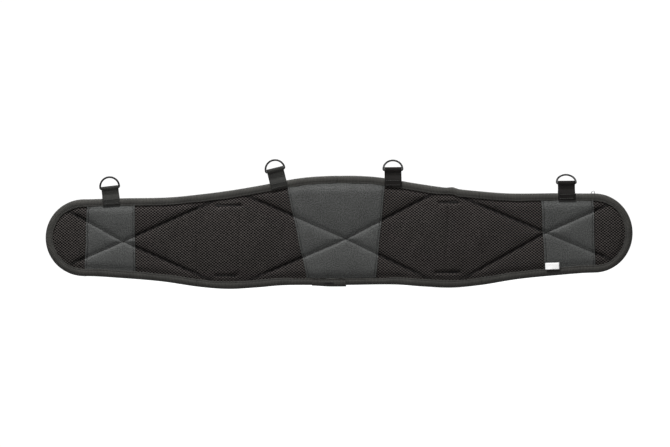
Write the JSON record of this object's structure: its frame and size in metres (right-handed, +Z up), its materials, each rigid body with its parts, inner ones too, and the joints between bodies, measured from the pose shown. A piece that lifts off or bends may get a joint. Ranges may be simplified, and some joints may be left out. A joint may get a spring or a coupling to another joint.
{
  "type": "padded back-support belt pad",
  "caption": "Curved padded support belt pad with a mesh-lined, quilted body face, leather-look grip patches, edge binding, brace D-rings on webbing tabs and belt keeper straps.",
  "frame": {"origin": "on the centreline of the work belt that runs behind the pad, at mid length", "axes": "+X along the pad to the right as the body face is seen, +Y away from the wearer through the outer face, +Z up as worn"},
  "size_m": [0.892, 0.0185, 0.1979],
  "materials": {
    "spacer_mesh": "open knitted spacer mesh, matt black",
    "shell_fabric": "plain woven polyester, matt black",
    "binding_tape": "ribbed grosgrain tape, folded over the edge",
    "webbing": "woven nylon webbing, slight sheen",
    "strap_webbing": "woven polyester webbing",
    "grip_leather": "fine-grained leather-look fabric, soft sheen",
    "foam": "closed-cell foam sheet",
    "ring_wire": "black coated steel wire",
    "thread": "polyester thread",
    "label": "white woven tape, blank"
  },
  "bodies": {
    "back": {"foam_core_back": "foam", "mesh_lining_back": "spacer_mesh", "outer_shell_back": "shell_fabric", "edge_binding_back": "binding_tape", "binding_lap": "binding_tape", "grip_patch_lumbar": "grip_leather", "tab_anchor_left_back": "webbing", "tab_anchor_right_back": "webbing"},
    "left_side": {"foam_core_left_side": "foam", "mesh_lining_left_side": "spacer_mesh", "outer_shell_left_side": "shell_fabric", "edge_binding_left_side": "binding_tape", "keeper_strap_left": "strap_webbing", "bartacks_left": "thread"},
    "left_end": {"foam_core_left_end": "foam", "mesh_lining_left_end": "spacer_mesh", "outer_shell_left_end": "shell_fabric", "edge_binding_left_end": "binding_tape", "grip_patch_left": "grip_leather", "tab_anchor_left_end": "webbing"},
    "right_side": {"foam_core_right_side": "foam", "mesh_lining_right_side": "spacer_mesh", "outer_shell_right_side": "shell_fabric", "edge_binding_right_side": "binding_tape", "keeper_strap_right": "strap_webbing", "bartacks_right": "thread"},
    "right_end": {"foam_core_right_end": "foam", "mesh_lining_right_end": "spacer_mesh", "outer_shell_right_end": "shell_fabric", "edge_binding_right_end": "binding_tape", "grip_patch_right": "grip_leather", "care_label": "label", "tab_anchor_right_end": "webbing"},
    "tab_left_end": {"tab_loop_left_end": "webbing"},
    "ring_left_end": {"d_ring_left_end": "ring_wire"},
    "tab_left_back": {"tab_loop_left_back": "webbing"},
    "ring_left_back": {"d_ring_left_back": "ring_wire"},
    "tab_right_back": {"tab_loop_right_back": "webbing"},
    "ring_right_back": {"d_ring_right_back": "ring_wire"},
    "tab_right_end": {"tab_loop_right_end": "webbing"},
    "ring_right_end": {"d_ring_right_end": "ring_wire"}
  },
  "joints": [
    {"name": "left_inner_bend", "type": "hinge", "parent": "back", "child": "left_side", "pos_m": [-0.148, -0.011, 0], "axis": [0, 0, 1], "range_deg": [-10, 60], "stiffness_Nm_per_rad": 0.25},
    {"name": "left_outer_bend", "type": "hinge", "parent": "left_side", "child": "left_end", "pos_m": [-0.285, -0.011, 0], "axis": [0, 0, 1], "range_deg": [-10, 60], "stiffness_Nm_per_rad": 0.25},
    {"name": "right_inner_bend", "type": "hinge", "parent": "back", "child": "right_side", "pos_m": [0.148, -0.011, 0], "axis": [0, 0, -1], "range_deg": [-10, 60], "stiffness_Nm_per_rad": 0.25},
    {"name": "right_outer_bend", "type": "hinge", "parent": "right_side", "child": "right_end", "pos_m": [0.285, -0.011, 0], "axis": [0, 0, -1], "range_deg": [-10, 60], "stiffness_Nm_per_rad": 0.25},
    {"name": "tab_left_end_bend", "type": "hinge", "parent": "left_end", "child": "tab_left_end", "pos_m": [-0.34652, -0.007, 0.06416], "axis": [0.9945, 0, 0.1045], "range_deg": [-75, 75], "stiffness_Nm_per_rad": 0.05},
    {"name": "ring_left_end_swing", "type": "hinge", "parent": "tab_left_end", "child": "ring_left_end", "pos_m": [-0.34764, -0.007, 0.07478], "axis": [0.9945, 0, 0.1045], "range_deg": [-100, 100]},
    {"name": "tab_left_back_bend", "type": "hinge", "parent": "back", "child": "tab_left_back", "pos_m": [-0.09312, -0.007, 0.08692], "axis": [0.9744, 0, 0.225], "range_deg": [-75, 75], "stiffness_Nm_per_rad": 0.05},
    {"name": "ring_left_back_swing", "type": "hinge", "parent": "tab_left_back", "child": "ring_left_back", "pos_m": [-0.09595, -0.007, 0.09918], "axis": [0.9744, 0, 0.225], "range_deg": [-85, 115]},
    {"name": "tab_right_back_bend", "type": "hinge", "parent": "back", "child": "tab_right_back", "pos_m": [0.0827, -0.007, 0.08933], "axis": [1, 0, 0], "range_deg": [-75, 75], "stiffness_Nm_per_rad": 0.05},
    {"name": "ring_right_back_swing", "type": "hinge", "parent": "tab_right_back", "child": "ring_right_back", "pos_m": [0.0827, -0.007, 0.09811], "axis": [1, 0, 0], "range_deg": [-74, 126]},
    {"name": "tab_right_end_bend", "type": "hinge", "parent": "right_end", "child": "tab_right_end", "pos_m": [0.346, -0.007, 0.06591], "axis": [1, 0, 0], "range_deg": [-75, 75], "stiffness_Nm_per_rad": 0.05},
    {"name": "ring_right_end_swing", "type": "hinge", "parent": "tab_right_end", "child": "ring_right_end", "pos_m": [0.346, -0.007, 0.07579], "axis": [1, 0, 0], "range_deg": [-62, 138]}
  ]
}
